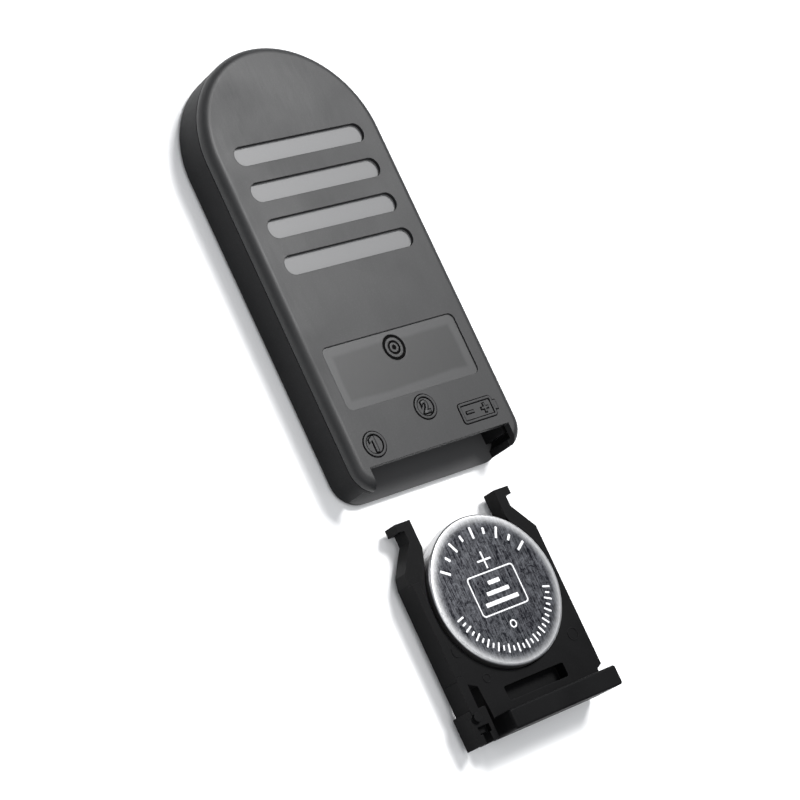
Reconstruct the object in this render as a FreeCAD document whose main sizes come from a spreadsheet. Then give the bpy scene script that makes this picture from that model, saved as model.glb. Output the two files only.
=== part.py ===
import FreeCAD, Part
import Sketcher
import math
import os
import re

# An infrared wireless trigger with its battery tray drawn out of the case.
# Millimetres. The case lies on its front face: +Z is out of the back, +Y points to the infrared end,
# and the origin is the middle of the front face. The tray's own frame has its origin under the coin cell.

os.makedirs("parts", exist_ok=True)
doc = FreeCAD.newDocument("wireless_trigger")

sizes = {
    # case
    "case_length": 60.0, "case_width": 28.0, "case_height": 6.6, "corner_radius": 3.5,
    "wall": 1.0, "floor_thick": 0.9, "parting": 5.1, "cover_thick": 1.0, "top_round": 1.2, "front_round": 0.8,
    "inside_corner": 2.0, "seam": 0.12, "seam_depth": 0.15,
    # back cover
    "slot_length": 21.4, "slot_width": 2.7, "slot_round": 1.3, "slot_depth": 0.5,
    "slot_pitch": 5.1, "slot_first": 0.3,
    "panel_width": 22.4, "panel_length": 8.6, "panel_round": 0.9, "panel_y": -15.3, "panel_depth": 0.2,
    "gate_y": -13.3, "gate_outer": 1.75, "gate_outer_wide": 0.4,
    "gate_inner": 0.95, "gate_inner_wide": 0.28, "gate_core": 0.32, "gate_depth": 0.12,
    "mouth_width": 23.8, "notch": 3.0,
    # battery bay
    "rail_end": 0.2, "stop_width": 4.6, "stop_thick": 1.0, "catch_depth": 0.7, "catch_length": 4.7,
    # electronics
    "board_bottom": 2.3, "board_thick": 0.8, "board_start": 2.6, "board_gap": 0.75,
    "post_radius": 1.1, "post_x": 10.0, "post_near": 5.0, "post_far": 17.0,
    "led_radius": 1.5, "led_height": 3.3, "led_length": 4.4, "led_flange": 1.8, "led_tip": 27.6,
    "lead_thick": 0.4, "lead_run": 3.6, "lead_spread": 1.27,
    "window_half": 5.0, "window_bottom": 1.4, "window_top": 4.6, "window_lip": 0.6, "fit": 0.03,
    # shutter button
    "button_radius": 4.6, "button_y": 10.5, "button_gap": 0.15, "button_flange": 0.7,
    "button_recess": 0.1, "stem_radius": 1.3, "dome_radius": 2.4, "dome_height": 0.3,
    # coin cell
    "cell_radius": 10.0, "cell_height": 2.5, "can_thick": 0.25, "cell_round": 0.35,
    "cap_radius": 8.9, "cap_rise": 0.2,
    # tray
    "tray_out": 33.0, "tray_rise": 0.12, "tray_half": 11.6, "tray_floor": 0.65, "tray_thick": 2.3,
    "rail_rise": 0.8, "rail_wide": 1.1, "seat_gap": 0.15,
    "bar_front": 16.9, "bar_thick": 2.6, "bar_end": 8.0, "cell_offset": 0.4,
    "latch_wide": 3.1, "latch_length": 4.3, "latch_high": 3.0, "latch_out": 0.6,
    "prong": 0.95, "prong_gap": 1.4,
    "arm_wide": 1.3, "arm_root": 8.9, "leaf_thick": 0.2,
}
sheet = doc.addObject("Spreadsheet::Sheet", "Sizes")
for row, (alias, value) in enumerate(sizes.items(), start=1):
    sheet.set(f"A{row}", alias)
    sheet.set(f"B{row}", str(value))
    sheet.setAlias(f"B{row}", alias)
doc.recompute()

nodes = []


def cells(expression):
    """The expression with each size's name turned into a reference to its cell."""
    return re.sub(r"[a-z_]{3,}", lambda word: f"Sizes.{word.group()}", expression)


def number(expression):
    """The expression's value, worked out in a spare cell of the sheet."""
    sheet.set("D1", f"={expression}")
    sheet.recompute()
    value = float(sheet.get("D1"))
    sheet.clear("D1")
    return value


def bind(item, **properties):
    """Ties properties to expressions of the sheet; a double underscore stands for a dot."""
    for name, expression in properties.items():
        item.setExpression(name.replace("__", "."), cells(expression))


def place(item, x="0", y="0", z="0"):
    bind(item, Placement__Base__x=x, Placement__Base__y=y, Placement__Base__z=z)
    return item


def node(item, label):
    item.Label = label
    nodes.append(item)
    return item


# part primitives

def box(name, width, length, height, x, y, z):
    """A box of the given size, centred on x and y, with its underside at z."""
    item = doc.addObject("Part::Box", name)
    bind(item, Length=width, Width=length, Height=height)
    return place(item, f"{x} - ({width}) / 2", f"{y} - ({length}) / 2", z)


def rod(name, radius, height, x, y, z, along_y=False):
    item = doc.addObject("Part::Cylinder", name)
    bind(item, Radius=radius, Height=height)
    if along_y:
        item.Placement.Rotation = FreeCAD.Rotation(FreeCAD.Vector(1, 0, 0), -90)
    return place(item, x, y, z)


def cut(name, base, *tools):
    for number, tool in enumerate(tools):
        item = doc.addObject("Part::Cut", f"{name}_cut{number}")
        item.Base, item.Tool = base, tool
        base = item
    return base


def fuse(name, *items):
    item = doc.addObject("Part::MultiFuse", f"{name}_whole")
    item.Shapes = list(items)
    item.Refine = True
    return item


def group(name, *items):
    item = doc.addObject("Part::Compound", f"{name}_group")
    item.Links = list(items)
    return item


# sketched features

def new_body(label):
    return node(doc.addObject("PartDesign::Body", label), label)


def new_sketch(body, name, height="0"):
    item = body.newObject("Sketcher::SketchObject", name)
    planes = {feature.Role: feature for feature in body.Origin.OriginFeatures}
    item.AttachmentSupport = [(planes["XY_Plane"], "")]
    item.MapMode = "FlatFace"
    bind(item, AttachmentOffset__Base__z=height)
    return item


def dimension(sketch, kind, *where, size):
    """Adds a dimension and ties it to an expression of the sheet."""
    index = sketch.addConstraint(Sketcher.Constraint(kind, *where, number(size)))
    sketch.setExpression(f"Constraints[{index}]", cells(size))


def polygon(sketch, points):
    """A closed outline with straight sides, each corner dimensioned from the origin."""
    count = len(points)
    start = [FreeCAD.Vector(number(x), number(y), 0) for x, y in points]
    first = sketch.GeometryCount
    for n in range(count):
        sketch.addGeometry(Part.LineSegment(start[n], start[(n + 1) % count]))
    for n in range(count):
        sketch.addConstraint(Sketcher.Constraint("Coincident", first + n, 2, first + (n + 1) % count, 1))
    for n, (x, y) in enumerate(points):
        dimension(sketch, "DistanceX", -1, 1, first + n, 1, size=x)
        dimension(sketch, "DistanceY", -1, 1, first + n, 1, size=y)


def rounded_box(sketch, x, y, width, length, radius):
    """A rectangle with rounded corners, centred on x and y."""
    cx, cy, w, l, r = (number(size) for size in (x, y, width, length, radius))
    x0, x1, y0, y1 = cx - w / 2, cx + w / 2, cy - l / 2, cy + l / 2
    corners = [(x1 - r, y0 + r, -90), (x1 - r, y1 - r, 0), (x0 + r, y1 - r, 90), (x0 + r, y0 + r, 180)]
    sides = [((x0 + r, y0), (x1 - r, y0)), ((x1, y0 + r), (x1, y1 - r)),
             ((x1 - r, y1), (x0 + r, y1)), ((x0, y1 - r), (x0, y0 + r))]
    first = sketch.GeometryCount
    for (a, b), (mx, my, angle) in zip(sides, corners):
        sketch.addGeometry(Part.LineSegment(FreeCAD.Vector(*a, 0), FreeCAD.Vector(*b, 0)))
        circle = Part.Circle(FreeCAD.Vector(mx, my, 0), FreeCAD.Vector(0, 0, 1), r)
        sketch.addGeometry(Part.ArcOfCircle(circle, math.radians(angle), math.radians(angle + 90)))
    for n in range(8):
        sketch.addConstraint(Sketcher.Constraint("Tangent", first + n, 2, first + (n + 1) % 8, 1))
    for n in (3, 5, 7):
        sketch.addConstraint(Sketcher.Constraint("Equal", first + 1, first + n))
    for n, kind in enumerate(("Horizontal", "Vertical", "Horizontal", "Vertical")):
        sketch.addConstraint(Sketcher.Constraint(kind, first + 2 * n))
    dimension(sketch, "Radius", first + 1, size=radius)
    dimension(sketch, "DistanceX", first, 1, first, 2, size=f"{width} - 2 * ({radius})")
    dimension(sketch, "DistanceY", first + 2, 1, first + 2, 2, size=f"{length} - 2 * ({radius})")
    dimension(sketch, "DistanceX", -1, 1, first, 1, size=f"{x} - ({width}) / 2 + {radius}")
    dimension(sketch, "DistanceY", -1, 1, first, 1, size=f"{y} - ({length}) / 2")


def circle(sketch, x, y, radius):
    centre = FreeCAD.Vector(number(x), number(y), 0)
    first = sketch.addGeometry(Part.Circle(centre, FreeCAD.Vector(0, 0, 1), number(radius)))
    dimension(sketch, "Radius", first, size=radius)
    dimension(sketch, "DistanceX", -1, 1, first, 3, size=x)
    dimension(sketch, "DistanceY", -1, 1, first, 3, size=y)


def arch(sketch, inset, corner, end):
    """The case's outline moved in by inset: straight sides, one half-round end, two small corners.

    end is the y of the straight end.
    """
    radius = f"case_width / 2 - ({inset})"
    half = number(radius)
    middle, bottom, small = number("case_length / 2 - case_width / 2"), number(end), number(corner)
    first = sketch.GeometryCount

    def line(x0, y0, x1, y1):
        sketch.addGeometry(Part.LineSegment(FreeCAD.Vector(x0, y0, 0), FreeCAD.Vector(x1, y1, 0)))

    def arc(x, y, r, begin, finish):
        whole = Part.Circle(FreeCAD.Vector(x, y, 0), FreeCAD.Vector(0, 0, 1), r)
        sketch.addGeometry(Part.ArcOfCircle(whole, math.radians(begin), math.radians(finish)))

    line(half, bottom + small, half, middle)
    arc(0, middle, half, 0, 180)
    line(-half, middle, -half, bottom + small)
    arc(-half + small, bottom + small, small, 180, 270)
    line(-half + small, bottom, half - small, bottom)
    arc(half - small, bottom + small, small, 270, 360)
    for n in range(6):
        sketch.addConstraint(Sketcher.Constraint("Tangent", first + n, 2, first + (n + 1) % 6, 1))
    for n, kind in enumerate(("Vertical", "Vertical", "Horizontal")):
        sketch.addConstraint(Sketcher.Constraint(kind, first + 2 * n))
    sketch.addConstraint(Sketcher.Constraint("Equal", first + 3, first + 5))
    sketch.addConstraint(Sketcher.Constraint("PointOnObject", first + 1, 3, -2))
    dimension(sketch, "Radius", first + 1, size=radius)
    dimension(sketch, "Radius", first + 3, size=corner)
    dimension(sketch, "DistanceY", -1, 1, first + 1, 3, size="case_length / 2 - case_width / 2")
    dimension(sketch, "DistanceY", -1, 1, first + 4, 1, size=end)


def grow(body, kind, sketch, length, reversed_way=False):
    """A Pad or a Pocket of the sketch."""
    item = body.newObject(f"PartDesign::{kind}", f"{kind}_{sketch.Name}")
    item.Profile = sketch
    bind(item, Length=length)
    item.Reversed = reversed_way
    sketch.Visibility = False
    doc.recompute()
    if not sketch.FullyConstrained:
        raise ValueError(f"{sketch.Name} is loose")
    return item


def pad(body, sketch, length):
    return grow(body, "Pad", sketch, length)


def pocket(body, sketch, length, upward=True):
    """Cuts from the sketch's height upward, or downward."""
    before = body.Shape.Volume
    item = grow(body, "Pocket", sketch, length, reversed_way=upward)
    if body.Shape.Volume > before - 1e-6:
        raise ValueError(f"{item.Name} cuts nothing")
    return item


def soften(body, kind, radius, chosen):
    """A Fillet or Chamfer on the edges of the body's tip that chosen(edge) picks."""
    base = body.Tip
    edges = [f"Edge{n}" for n, edge in enumerate(base.Shape.Edges, start=1) if chosen(edge)]
    if not edges:
        raise ValueError(f"no edge to soften on {body.Label}")
    item = body.newObject(f"PartDesign::{kind}", f"{kind}_{body.Label}")
    item.Base = (base, edges)
    bind(item, **{"Radius" if kind == "Fillet" else "Size": radius})
    doc.recompute()
    return item


def flat_at(height):
    """Picks edges that lie level at a height."""
    return lambda edge: abs(edge.BoundBox.ZMin - height) < 1e-4 and abs(edge.BoundBox.ZMax - height) < 1e-4


def upright(edge):
    return edge.BoundBox.ZLength > 0.2 and max(edge.BoundBox.XLength, edge.BoundBox.YLength) < 1e-4


half_case = sizes["case_width"] / 2
case_end = sizes["case_length"] / 2


# case

def on_outline(edge):
    """Is the edge on the case's outer outline?"""
    for at in (edge.FirstParameter, (edge.FirstParameter + edge.LastParameter) / 2, edge.LastParameter):
        point = edge.valueAt(at)
        middle = case_end - half_case
        side = math.hypot(point.x, point.y - middle) if point.y > middle else abs(point.x)
        corner = sizes["corner_radius"]
        cx, cy = half_case - corner, -case_end + corner
        in_corner = abs(point.x) > cx and point.y < cy
        at_corner = in_corner and abs(math.hypot(abs(point.x) - cx, point.y - cy) - corner) < 1e-3
        at_end = point.y < -case_end + 1e-3
        if not (abs(side - half_case) < 1e-3 or at_corner or at_end):
            return False
    return True


mouth_corners = [
    ("-mouth_width / 2", "-case_length / 2 - 1"), ("mouth_width / 2", "-case_length / 2 - 1"),
    ("mouth_width / 2", "-case_length / 2 + notch"), ("-mouth_width / 2", "-case_length / 2 + notch"),
]


def front_case():
    body = new_body("front_case")
    outer = new_sketch(body, "front_outline")
    arch(outer, "0", "corner_radius", "-case_length / 2")
    pad(body, outer, "parting - seam")
    soften(body, "Fillet", "front_round", lambda edge: flat_at(0)(edge) and on_outline(edge))
    hollow = new_sketch(body, "front_hollow", "floor_thick")
    arch(hollow, "wall", "inside_corner", "-case_length / 2 + wall")
    pocket(body, hollow, "case_height")
    mouth = new_sketch(body, "front_mouth", "floor_thick")
    polygon(mouth, mouth_corners)
    pocket(body, mouth, "case_height")
    rails = new_sketch(body, "bay_rails", "floor_thick")
    for side in ("", "-"):
        near, far = f"{side}mouth_width / 2", f"{side}(case_width / 2 - wall / 2)"
        polygon(rails, [(near, "-case_length / 2 + wall + 1.2"), (far, "-case_length / 2 + wall + 1.2"),
                        (far, "rail_end"), (near, "rail_end")])
    pad(body, rails, "parting - seam - floor_thick")
    stops = new_sketch(body, "hook_stops", "floor_thick")
    for side in ("", "-"):
        near, far = f"{side}(case_width / 2 - wall - stop_width)", f"{side}(case_width / 2 - wall / 2)"
        polygon(stops, [(near, "rail_end + 1.1"), (far, "rail_end + 1.1"),
                        (far, "rail_end + 1.1 + stop_thick"), (near, "rail_end + 1.1 + stop_thick")])
    pad(body, stops, "parting - seam - floor_thick - 0.6")
    posts = new_sketch(body, "board_posts", "floor_thick")
    for side in ("", "-"):
        for along in ("post_near", "post_far"):
            circle(posts, f"{side}post_x", along, "post_radius")
    pad(body, posts, "board_bottom - floor_thick")
    button_hole = new_sketch(body, "button_hole")
    circle(button_hole, "0", "button_y", "button_radius + button_gap")
    pocket(body, button_hole, "floor_thick")
    recess = new_sketch(body, "latch_recess", "floor_thick")
    inner, outer_side = "-mouth_width / 2 + 0.5", "-mouth_width / 2 - catch_depth"
    outside, back = "-case_length / 2 - 1", "-case_length / 2 + catch_length"
    polygon(recess, [(outer_side, outside), (inner, outside), (inner, back), (outer_side, back)])
    pocket(body, recess, "latch_high + 0.5")
    window = new_sketch(body, "window_hole", "window_bottom")
    polygon(window, [("-window_half", "case_length / 2 - 2.6"),
                     ("window_half", "case_length / 2 - 2.6"),
                     ("window_half", "case_length / 2 + 1"),
                     ("-window_half", "case_length / 2 + 1")])
    pocket(body, window, "window_top - window_bottom")


def back_cover():
    body = new_body("back_cover")
    outer = new_sketch(body, "back_outline", "parting")
    arch(outer, "0", "corner_radius", "-case_length / 2")
    pad(body, outer, "case_height - parting")
    top = sizes["case_height"]
    soften(body, "Fillet", "top_round", lambda edge: flat_at(top)(edge) and on_outline(edge))
    hollow = new_sketch(body, "back_hollow", "parting")
    arch(hollow, "wall", "inside_corner", "-case_length / 2 + wall")
    pocket(body, hollow, "case_height - cover_thick - parting")
    step = new_sketch(body, "seam_step", "parting - seam")
    arch(step, "seam_depth", "corner_radius - seam_depth", "-case_length / 2 + seam_depth")
    arch(step, "wall", "inside_corner", "-case_length / 2 + wall")
    pad(body, step, "seam")
    slots = new_sketch(body, "grip_slot", "case_height - slot_depth")
    rounded_box(slots, "0", "slot_first", "slot_length", "slot_width", "slot_round")
    first = pocket(body, slots, "case_height")
    rows = body.newObject("PartDesign::LinearPattern", "grip_slots")
    rows.Originals = [first]
    rows.Direction = (slots, ["V_Axis"])
    bind(rows, Length="3 * slot_pitch")
    rows.Occurrences = 4
    body.Tip = rows
    doc.recompute()
    panel = new_sketch(body, "label_panel", "case_height - panel_depth")
    rounded_box(panel, "0", "panel_y", "panel_width", "panel_length", "panel_round")
    pocket(body, panel, "case_height")
    gate = new_sketch(body, "gate_mark", "case_height - panel_depth - gate_depth")
    for radius in ("gate_outer", "gate_outer - gate_outer_wide", "gate_inner", "gate_inner - gate_inner_wide"):
        circle(gate, "0", "gate_y", radius)
    pocket(body, gate, "case_height")
    gate_core = new_sketch(body, "gate_core", "case_height - panel_depth - 2 * gate_depth")
    circle(gate_core, "0", "gate_y", "gate_core")
    pocket(body, gate_core, "case_height")
    notch = new_sketch(body, "cover_notch", "parting - 1")
    polygon(notch, mouth_corners)
    pocket(body, notch, "case_height")
    holders = new_sketch(body, "board_holders", "board_bottom + board_thick")
    for side in ("", "-"):
        circle(holders, f"{side}post_x", "post_near", "post_radius")
    pad(body, holders, "case_height - cover_thick - board_bottom - board_thick + 0.1")


def ir_window():
    """A smoked plate that follows the round end, with an inner lip that keeps it in its hole."""
    centre = FreeCAD.Vector(0, case_end - half_case, 0)
    fit, lip = sizes["fit"], sizes["window_lip"]
    wide = sizes["window_half"] - fit
    low, high = sizes["window_bottom"] + fit, sizes["window_top"] - fit
    inner = half_case - sizes["wall"]

    def arc_band(outer_radius, inner_radius, half_width, bottom, top):
        ring = Part.makeCylinder(outer_radius, top - bottom, centre + FreeCAD.Vector(0, 0, bottom))
        ring = ring.cut(Part.makeCylinder(inner_radius, top - bottom, centre + FreeCAD.Vector(0, 0, bottom)))
        keep = Part.makeBox(2 * half_width, half_case, top - bottom,
                            FreeCAD.Vector(-half_width, centre.y, bottom))
        return ring.common(keep)

    plate = arc_band(half_case, inner, wide, low, high)
    flange = arc_band(inner - fit, inner - lip, wide + lip, low - lip / 2, high + lip / 2)
    bridge = arc_band(inner, inner - fit, wide, low, high)
    item = doc.addObject("Part::Feature", "ir_window")
    item.Shape = plate.fuse([bridge, flange]).removeSplitter()
    node(item, "ir_window")


# electronics

def circuit_board():
    body = new_body("circuit_board")
    outline = new_sketch(body, "board_outline", "board_bottom")
    arch(outline, "wall + board_gap", "1", "board_start")
    pad(body, outline, "board_thick")
    relief = new_sketch(body, "led_relief", "board_bottom - 1")
    wide, behind = "led_flange + 0.4", "led_tip - led_length - 1.6"
    polygon(relief, [(f"-({wide})", behind), (wide, behind), (wide, "case_length / 2"),
                     (f"-({wide})", "case_length / 2")])
    pocket(body, relief, "3")
    lead_holes = new_sketch(body, "lead_holes", "board_bottom - 1")
    for side in ("", "-"):
        circle(lead_holes, f"{side}lead_spread", "led_tip - led_length - lead_run + lead_thick / 2", "0.35")
    pocket(body, lead_holes, "3")


def ir_emitter():
    base = "led_tip - led_length"
    barrel = rod("led_barrel", "led_radius", "led_length - led_radius", "0", base, "led_height", along_y=True)
    flange = rod("led_collar", "led_flange", "0.7", "0", base, "led_height", along_y=True)
    lens = doc.addObject("Part::Sphere", "led_lens")
    bind(lens, Radius="led_radius")
    place(lens, "0", "led_tip - led_radius", "led_height")
    node(fuse("ir_led", barrel, flange, lens), "ir_led")
    leads = []
    for side, name in (("", "right"), ("-", "left")):
        run = box(f"lead_{name}_run", "lead_thick", "lead_run", "lead_thick",
                  f"{side}lead_spread", f"{base} - lead_run / 2", "led_height - lead_thick / 2")
        drop = box(f"lead_{name}_drop", "lead_thick", "lead_thick",
                   "led_height + lead_thick / 2 - board_bottom + 0.5",
                   f"{side}lead_spread", f"{base} - lead_run + lead_thick / 2", "board_bottom - 0.5")
        leads.append(fuse(f"lead_{name}", run, drop))
    node(group("led_leads", *leads), "led_leads")


def board_top_part(name, width, length, height, x, y):
    return box(name, width, length, height, x, y, "board_bottom + board_thick")


def chips():
    chip = board_top_part("chip_body", "4", "5", "1.5", "-4.5", "12")
    legs = []
    for number in range(8):
        side = "-" if number % 2 else "+"
        row = number // 2
        legs.append(board_top_part(f"chip_leg{number}", "1.1", "0.42", "0.3", f"-4.5 {side} 2.4",
                                   f"12 + ({row} - 1.5) * 1.27"))
    node(fuse("control_chip", chip, *legs), "control_chip")
    can = rod("resonator_can", "1.1", "6", "4.6", "9.4", "board_bottom + board_thick + 1.1", along_y=True)
    foot = rod("resonator_foot", "0.9", "0.5", "4.6", "8.95", "board_bottom + board_thick + 1.1", along_y=True)
    node(fuse("resonator", can, foot), "resonator")
    capacitors = [board_top_part(f"capacitor{n}", "1.25", "2", "0.9", "8.2", f"9 + {n} * 3") for n in range(3)]
    node(group("chip_capacitors", *capacitors), "chip_capacitors")
    resistors = [board_top_part(f"resistor{n}", "2", "1.25", "0.5", "0.4", f"7.6 + {n} * 2.4")
                 for n in range(4)]
    node(group("chip_resistors", *resistors), "chip_resistors")
    body = board_top_part("transistor_body", "1.3", "2.9", "1", "-5", "20")
    legs = [board_top_part(f"transistor_leg{n}", "0.6", "0.4", "0.2", x, f"20 + {y}")
            for n, (x, y) in enumerate((("-5.9", "0.95"), ("-5.9", "-0.95"), ("-4.1", "0")))]
    node(fuse("transistor", body, *legs), "transistor")


def leaf(label, line, width, x):
    """A bent strip of spring metal: line is its underside in side view, as (y, z) corners."""
    body = new_body(label)
    item = body.newObject("Sketcher::SketchObject", f"{label}_side")
    planes = {feature.Role: feature for feature in body.Origin.OriginFeatures}
    item.AttachmentSupport = [(planes["YZ_Plane"], "")]
    item.MapMode = "FlatFace"
    bind(item, AttachmentOffset__Base__z=f"{x} - ({width}) / 2")
    polygon(item, line + [(y, f"{z} + leaf_thick") for y, z in reversed(line)])
    pad(body, item, width)


def contacts():
    board_top, board_low = "board_bottom + board_thick", "board_bottom"
    low = "floor_thick + tray_rise + tray_floor + 0.05"
    high = f"{low} + cell_height"
    leaf("positive_contact", [
        ("6.2", f"{board_top} + 0.1"), ("3.4", f"{board_top} + 0.1"), ("2.2", f"{high} + 0.35"),
        ("-4.6", f"{high} + 0.25"), ("-5.6", f"{high} + 0.05"), ("-6.6", f"{high} + 0.35")], "3", "3")
    leaf("negative_contact", [
        ("6.2", f"{board_low} - 0.3"), ("3.4", f"{board_low} - 0.3"), ("2.6", f"{low} - 0.45"),
        ("-6", f"{low} - 0.45"), ("-6.8", f"{low} - 0.25"), ("-7.6", f"{low} - 0.45")], "2.6", "0")


# shutter button

def shutter_button():
    face = rod("button_face", "button_radius", "floor_thick - button_recess + 0.05",
               "0", "button_y", "button_recess")
    flange = rod("button_rim", "button_radius + button_flange", "0.3", "0", "button_y", "floor_thick + 0.05")
    stem = rod("button_stem", "stem_radius", "board_bottom - dome_height - 0.05 - floor_thick - 0.3",
               "0", "button_y", "floor_thick + 0.3")
    node(fuse("shutter_button", face, flange, stem), "shutter_button")
    dome = doc.addObject("Part::Cone", "snap_dome_cone")
    bind(dome, Radius1="stem_radius", Radius2="dome_radius", Height="dome_height")
    place(dome, "0", "button_y", "board_bottom - dome_height")
    node(dome, "snap_dome")


# coin cell

def coin_cell(x, y, z):
    """A steel cup over a sealing ring and a cap, with the two electrodes and the separator inside."""
    def disc(name, radius, height, rise):
        return rod(name, radius, height, x, y, f"{z} + {rise}")

    cup = disc("can_cup", "cell_radius", "cell_height - cap_rise", "cap_rise")
    rounded = doc.addObject("Part::Fillet", "can_round")
    rounded.Base = cup
    doc.recompute()
    bend = sizes["cell_round"]
    rounded.Edges = [(n, bend, bend) for n, edge in enumerate(cup.Shape.Edges, start=1)
                     if edge.BoundBox.ZLength < 1e-6]
    room_high, room_rise = "cell_height - cap_rise - 2 * can_thick", "cap_rise + can_thick"
    room = disc("can_room", "cell_radius - can_thick", room_high, room_rise)
    opening = disc("can_opening", "cap_radius + 0.35", "1", "0")
    node(cut("cell_can", rounded, room, opening), "cell_can")
    seal = disc("seal_ring", "cell_radius - can_thick", room_high, room_rise)
    seal_hole = disc("seal_hole", "cap_radius", "3", "-0.2")
    node(cut("cell_gasket", seal, seal_hole), "cell_gasket")
    cap = disc("cap_disc", "cap_radius", "0.9", "0")
    cap_room = disc("cap_room", "cap_radius - can_thick", "0.9 - can_thick", "can_thick")
    node(cut("cell_cap", cap, cap_room), "cell_cap")
    inside = "cap_radius - can_thick - 0.05"
    node(disc("lithium_disc", inside, "0.6", "can_thick"), "lithium_disc")
    node(disc("separator", inside, "0.12", "can_thick + 0.6"), "separator")
    node(disc("cathode_pellet", inside, "cell_height - 2 * can_thick - 0.72", "can_thick + 0.72"),
         "cathode_pellet")


# battery tray

def tray_points(points, y):
    """Outline corners given in the tray's own frame, moved out along the case's axis."""
    return [(px, f"{y} + {py}") for px, py in points]


def battery_tray(y, z):
    body = new_body("battery_tray")
    plate = new_sketch(body, "tray_plate", z)
    polygon(plate, tray_points([
        ("-bar_end", "-bar_front"), ("tray_half - 0.9", "-bar_front"),
        ("tray_half - 0.9", "-bar_front + bar_thick + 0.5"), ("tray_half", "-bar_front + bar_thick + 0.9"),
        ("tray_half", "5.9"), ("9.1", "9.4"), ("9.1", "10.9"), ("10.1", "10.9"), ("10.1", "12"), ("7.6", "12"),
        ("7.6", "8.2"), ("9.2", "4.6"), ("-8.4", "4.6"), ("-7", "8.2"), ("-7", "12"), ("-9.5", "12"),
        ("-9.5", "10.9"), ("-8.5", "10.9"), ("-8.5", "9.4"), ("-tray_half + 0.4", "5.9"), ("-tray_half", "4.4"),
        ("-tray_half", "-arm_root"), ("-tray_half + arm_wide + 0.2", "-arm_root"),
        ("-tray_half + arm_wide + 0.6", "-arm_root - 0.5"), ("-tray_half + 3.3", "-arm_root - 1.2"),
        ("-bar_end", "-arm_root - 4.9")], y))
    pad(body, plate, "tray_thick")
    bar = new_sketch(body, "end_bar", z)
    polygon(bar, tray_points([
        ("-bar_end", "-bar_front"), ("tray_half - 0.9", "-bar_front"),
        ("tray_half - 0.9", "-bar_front + bar_thick"), ("-bar_end", "-bar_front + bar_thick")], y))
    pad(body, bar, "case_height - floor_thick - tray_rise - 0.05")
    rail = new_sketch(body, "tray_rail", f"{z} + tray_thick - 0.2")
    polygon(rail, tray_points([("-tray_half", "-arm_root"), ("-tray_half + rail_wide", "-arm_root"),
                               ("-tray_half + rail_wide", "4.2"), ("-tray_half", "4.2")], y))
    pad(body, rail, "rail_rise + 0.2")
    seat = new_sketch(body, "cell_seat", f"{z} + tray_floor")
    circle(seat, "cell_offset", f"{y}", "cell_radius + seat_gap")
    pocket(body, seat, "4")
    opening = new_sketch(body, "seat_opening", f"{z} - 0.5")
    polygon(opening, tray_points([("-4.2", "-5.2"), ("5", "-5.2"), ("5", "14"), ("-4.2", "14")], y))
    pocket(body, opening, "4")
    well = new_sketch(body, "tray_well", f"{z} + 0.6")
    rounded_box(well, "0.6", f"{y} - 12.3", "10.4", "1.9", "0.3")
    pocket(body, well, "6")
    root = new_sketch(body, "latch_socket", f"{z} - 0.5")
    circle(root, "-tray_half + arm_wide / 2", f"{y} - arm_root", "arm_wide / 2 + fit")
    pocket(body, root, "6")
    top = sizes["case_height"] - 0.05
    soften(body, "Fillet", "0.35", lambda edge: upright(edge) and edge.BoundBox.ZMax > top - 0.01)
    soften(body, "Fillet", "0.25", lambda edge: flat_at(top)(edge))


def release_latch(y, z):
    """The thumb catch on its spring arm. The arm's round root sits in the tray's socket."""
    middle = "-tray_half + arm_wide / 2"
    arm_high = "tray_thick + rail_rise"
    root = rod("latch_knuckle", "arm_wide / 2", arm_high, middle, f"{y} - arm_root", z)
    arm_long = "bar_front - latch_length - arm_root + 0.5"
    arm = box("latch_arm", "arm_wide", arm_long, arm_high, middle, f"{y} - arm_root - ({arm_long}) / 2", z)
    block_x = "-tray_half - latch_out + latch_wide / 2"
    block = box("latch_block", "latch_wide", "latch_length", "latch_high",
                block_x, f"{y} - bar_front + latch_length / 2", z)
    nib = rod("latch_nib", "0.6", "latch_high + 0.5",
              f"{middle} - 0.2", f"{y} - bar_front + latch_length - 1", z)
    fork = box("latch_fork", "latch_wide - 2 * prong", "2 * prong_gap", "latch_high + 1",
               block_x, f"{y} - bar_front", f"{z} - 0.5")
    groove = box("latch_groove", "latch_wide - 1.2", "1", "2",
                 block_x, f"{y} - bar_front + prong_gap + 0.3", f"{z} + 2.2")
    whole = fuse("latch", root, arm, block, nib)
    node(cut("release_latch", whole, fork, groove), "release_latch")


cell_y = "(-case_length / 2 + bar_front - tray_out)"
tray_z = "floor_thick + tray_rise"
front_case()
back_cover()
ir_window()
circuit_board()
ir_emitter()
chips()
contacts()
shutter_button()
battery_tray(cell_y, tray_z)
release_latch(cell_y, tray_z)
coin_cell("cell_offset", cell_y, f"{tray_z} + tray_floor + 0.05")
doc.recompute()

for item in doc.Objects:
    if "Invalid" in item.State or "Error" in item.State:
        raise ValueError(f"{item.Name} failed: {item.State}")
for item in nodes:
    shape = item.Shape
    if shape.isNull() or not shape.isValid():
        raise ValueError(f"{item.Label} has no valid shape")
    shape.exportStep(f"parts/{item.Label}.step")
    box_of = shape.BoundBox
    print(f"{item.Label}: {len(shape.Solids)} solid, {shape.Volume:.2f} mm3, "
          f"x {box_of.XMin:.2f}..{box_of.XMax:.2f} y {box_of.YMin:.2f}..{box_of.YMax:.2f} "
          f"z {box_of.ZMin:.2f}..{box_of.ZMax:.2f}")
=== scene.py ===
import bmesh
import bpy
import math
from mathutils import Matrix, Vector


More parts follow.
